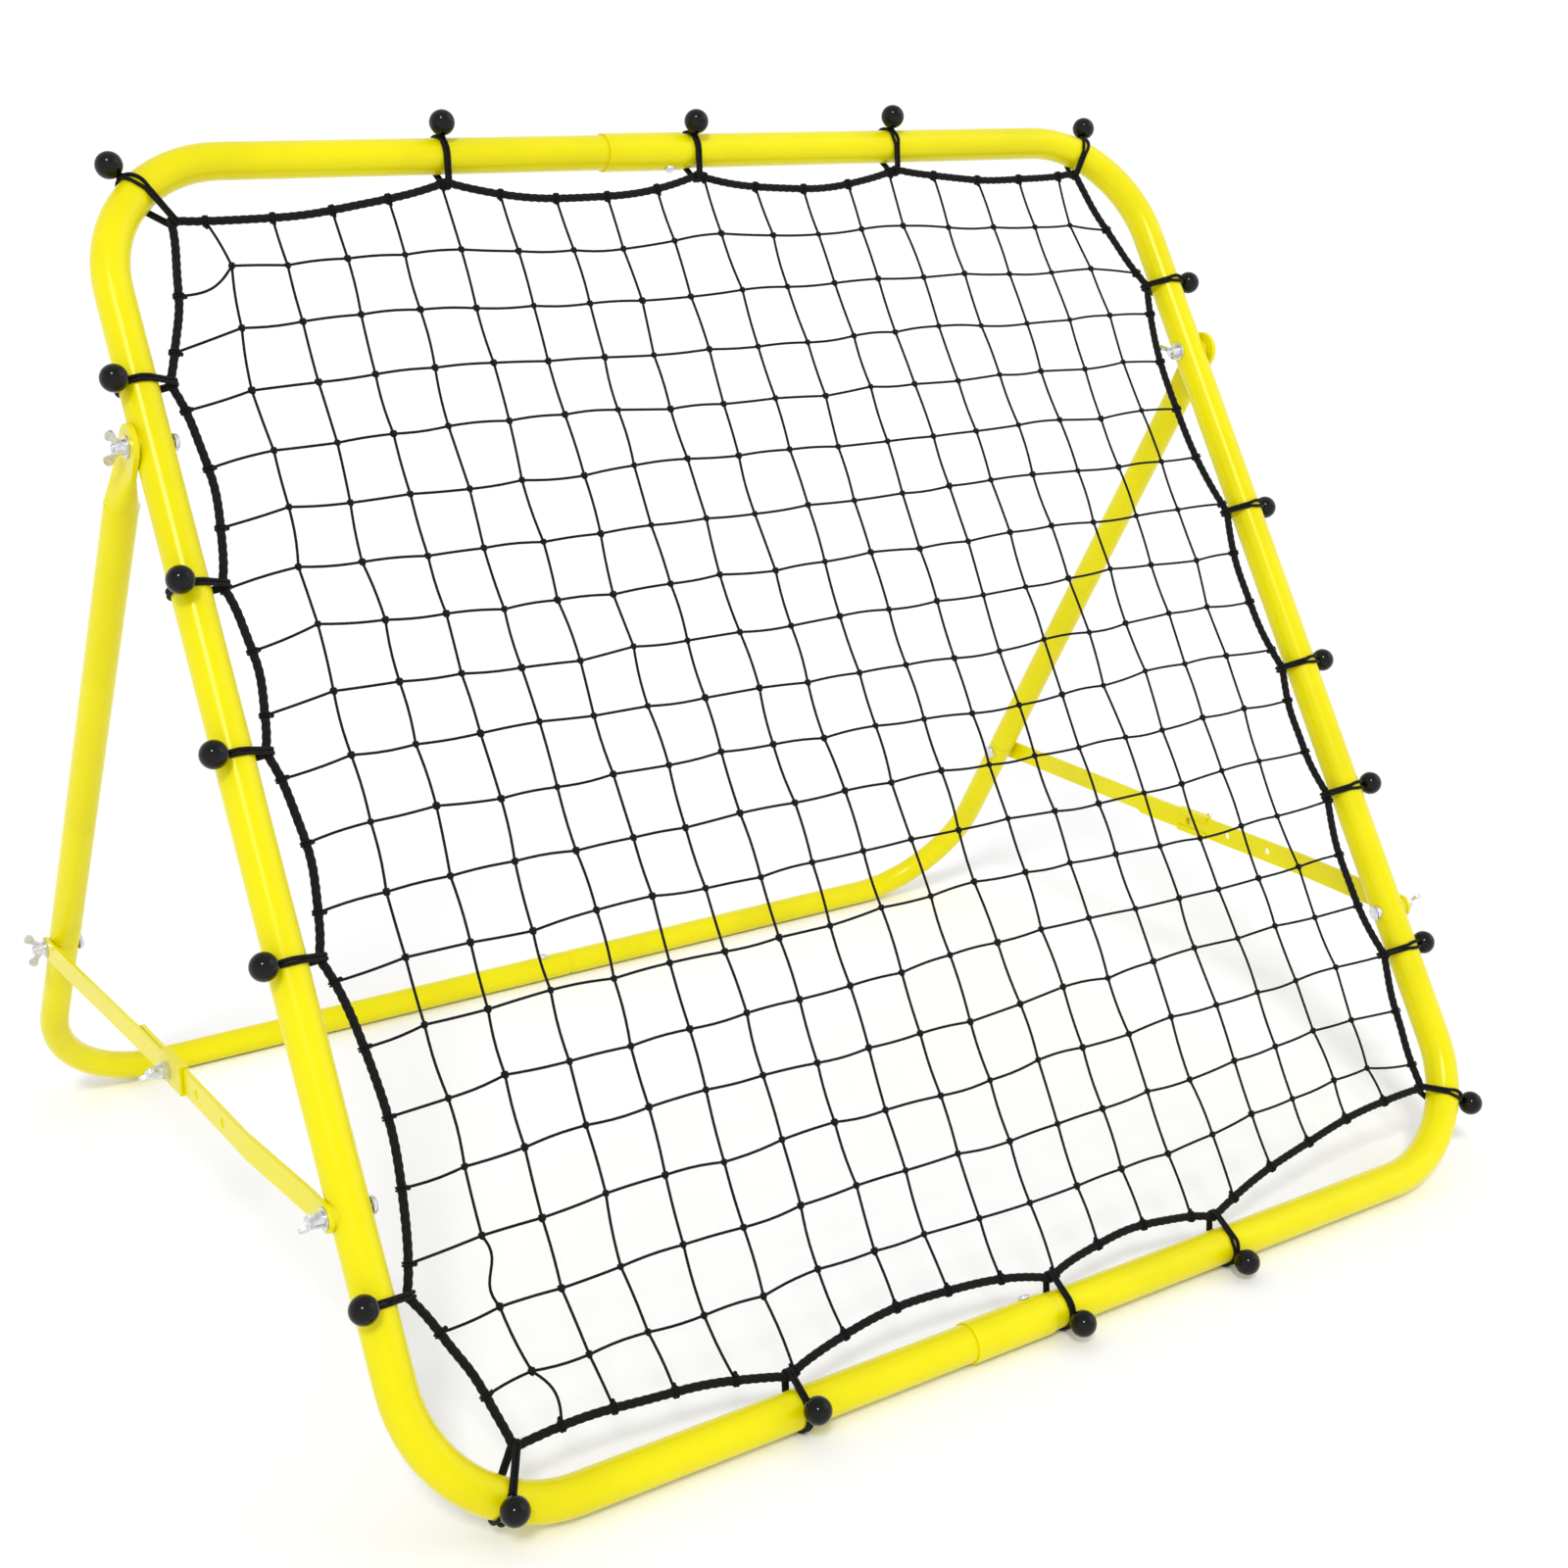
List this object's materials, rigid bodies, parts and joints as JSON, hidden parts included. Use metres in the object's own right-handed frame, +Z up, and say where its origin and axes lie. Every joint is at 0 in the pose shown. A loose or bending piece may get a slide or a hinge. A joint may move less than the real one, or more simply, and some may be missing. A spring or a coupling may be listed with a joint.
{
  "type": "pitch back rebounder",
  "caption": "Leaning square tube frame with a net tied into it, held at an angle by a hinged rear frame and sliding side struts.",
  "frame": {"origin": "on the ground, under the middle of the bounding box", "axes": "+X to the right as the player faces the net, -Y towards the player, +Z up"},
  "size_m": [1.0678, 0.8324, 0.8722],
  "materials": {
    "yellow_paint": "gloss",
    "zinc_plate": "satin",
    "net_cord": "matte",
    "border_rope": "matte",
    "ball_plastic": "gloss",
    "bungee_cord": "matte",
    "spacer_plastic": "matte"
  },
  "bodies": {
    "front_frame": {"front_tube_left": "yellow_paint", "front_tube_right": "yellow_paint", "front_joint_screws": "zinc_plate", "border_rope": "border_rope", "net": "net_cord", "tie_balls_top": "ball_plastic", "tie_cords_top": "bungee_cord", "tie_balls_bottom": "ball_plastic", "tie_cords_bottom": "bungee_cord", "tie_balls_left": "ball_plastic", "tie_cords_left": "bungee_cord", "tie_balls_right": "ball_plastic", "tie_cords_right": "bungee_cord", "hinge_saddle_left": "spacer_plastic", "hinge_bolt_left": "zinc_plate", "hinge_washer_left": "zinc_plate", "strut_saddle_left": "spacer_plastic", "strut_bolt_left": "zinc_plate", "strut_washer_left": "zinc_plate", "hinge_saddle_right": "spacer_plastic", "hinge_bolt_right": "zinc_plate", "hinge_washer_right": "zinc_plate", "strut_saddle_right": "spacer_plastic", "strut_bolt_right": "zinc_plate", "strut_washer_right": "zinc_plate"},
    "rear_frame": {"base_joint_screw": "zinc_plate", "rear_leg_left": "yellow_paint", "rear_base_left": "yellow_paint", "rear_saddle_left": "spacer_plastic", "rear_bolt_left": "zinc_plate", "rear_washer_left": "zinc_plate", "rear_leg_right": "yellow_paint", "rear_base_right": "yellow_paint", "rear_saddle_right": "spacer_plastic", "rear_bolt_right": "zinc_plate", "rear_washer_right": "zinc_plate"},
    "strut_front_bar_left": {"strut_front_bar_left": "yellow_paint"},
    "strut_rear_bar_left": {"strut_rear_bar_left": "yellow_paint", "strut_clamp_nut_left": "zinc_plate"},
    "hinge_wing_nut_left": {"hinge_wing_nut_left": "zinc_plate"},
    "strut_wing_nut_left": {"strut_wing_nut_left": "zinc_plate"},
    "rear_wing_nut_left": {"rear_wing_nut_left": "zinc_plate"},
    "strut_clamp_screw_left": {"strut_clamp_screw_left": "zinc_plate"},
    "strut_front_bar_right": {"strut_front_bar_right": "yellow_paint"},
    "strut_rear_bar_right": {"strut_rear_bar_right": "yellow_paint", "strut_clamp_nut_right": "zinc_plate"},
    "hinge_wing_nut_right": {"hinge_wing_nut_right": "zinc_plate"},
    "strut_wing_nut_right": {"strut_wing_nut_right": "zinc_plate"},
    "rear_wing_nut_right": {"rear_wing_nut_right": "zinc_plate"},
    "strut_clamp_screw_right": {"strut_clamp_screw_right": "zinc_plate"}
  },
  "joints": [
    {"name": "rear_frame_fold", "type": "hinge", "parent": "front_frame", "child": "rear_frame", "pos_m": [0, 0.02646, 0.65326], "axis": [1, 0, 0], "range_deg": [-12, 6]},
    {"name": "strut_swing_left", "type": "hinge", "parent": "front_frame", "child": "strut_front_bar_left", "pos_m": [0, -0.26368, 0.19783], "axis": [1, 0, 0], "range_deg": [-6.1, 3.1]},
    {"name": "strut_slide_left", "type": "slide", "parent": "strut_front_bar_left", "child": "strut_rear_bar_left", "axis": [0, 0.9998, -0.0175], "range_m": [-0.0985, 0.0495]},
    {"name": "hinge_wing_nut_left_turn", "type": "hinge", "parent": "front_frame", "child": "hinge_wing_nut_left", "pos_m": [0, 0.02646, 0.65326], "axis": [1, 0, 0], "continuous": true},
    {"name": "strut_wing_nut_left_turn", "type": "hinge", "parent": "front_frame", "child": "strut_wing_nut_left", "pos_m": [0, -0.26368, 0.19783], "axis": [1, 0, 0], "continuous": true},
    {"name": "rear_wing_nut_left_turn", "type": "hinge", "parent": "rear_frame", "child": "rear_wing_nut_left", "pos_m": [0, 0.30053, 0.18798], "axis": [1, 0, 0], "continuous": true},
    {"name": "strut_clamp_screw_left_turn", "type": "hinge", "parent": "strut_rear_bar_left", "child": "strut_clamp_screw_left", "pos_m": [0, 0.01057, 0.19304], "axis": [1, 0, 0], "continuous": true},
    {"name": "strut_swing_right", "type": "hinge", "parent": "front_frame", "child": "strut_front_bar_right", "pos_m": [0, -0.26368, 0.19783], "axis": [1, 0, 0], "range_deg": [-6.1, 3.1]},
    {"name": "strut_slide_right", "type": "slide", "parent": "strut_front_bar_right", "child": "strut_rear_bar_right", "axis": [0, 0.9998, -0.0175], "range_m": [-0.0985, 0.0495]},
    {"name": "hinge_wing_nut_right_turn", "type": "hinge", "parent": "front_frame", "child": "hinge_wing_nut_right", "pos_m": [0, 0.02646, 0.65326], "axis": [1, 0, 0], "continuous": true},
    {"name": "strut_wing_nut_right_turn", "type": "hinge", "parent": "front_frame", "child": "strut_wing_nut_right", "pos_m": [0, -0.26368, 0.19783], "axis": [1, 0, 0], "continuous": true},
    {"name": "rear_wing_nut_right_turn", "type": "hinge", "parent": "rear_frame", "child": "rear_wing_nut_right", "pos_m": [0, 0.30053, 0.18798], "axis": [1, 0, 0], "continuous": true},
    {"name": "strut_clamp_screw_right_turn", "type": "hinge", "parent": "strut_rear_bar_right", "child": "strut_clamp_screw_right", "pos_m": [0, 0.01057, 0.19304], "axis": [1, 0, 0], "continuous": true}
  ],
  "couplings": [
    {"joint": "strut_swing_left", "follows": "rear_frame_fold", "ratio": 0.5},
    {"joint": "strut_slide_left", "follows": "rear_frame_fold", "m_per_rad": 0.4675},
    {"joint": "strut_swing_right", "follows": "rear_frame_fold", "ratio": 0.5},
    {"joint": "strut_slide_right", "follows": "rear_frame_fold", "m_per_rad": 0.4675}
  ]
}
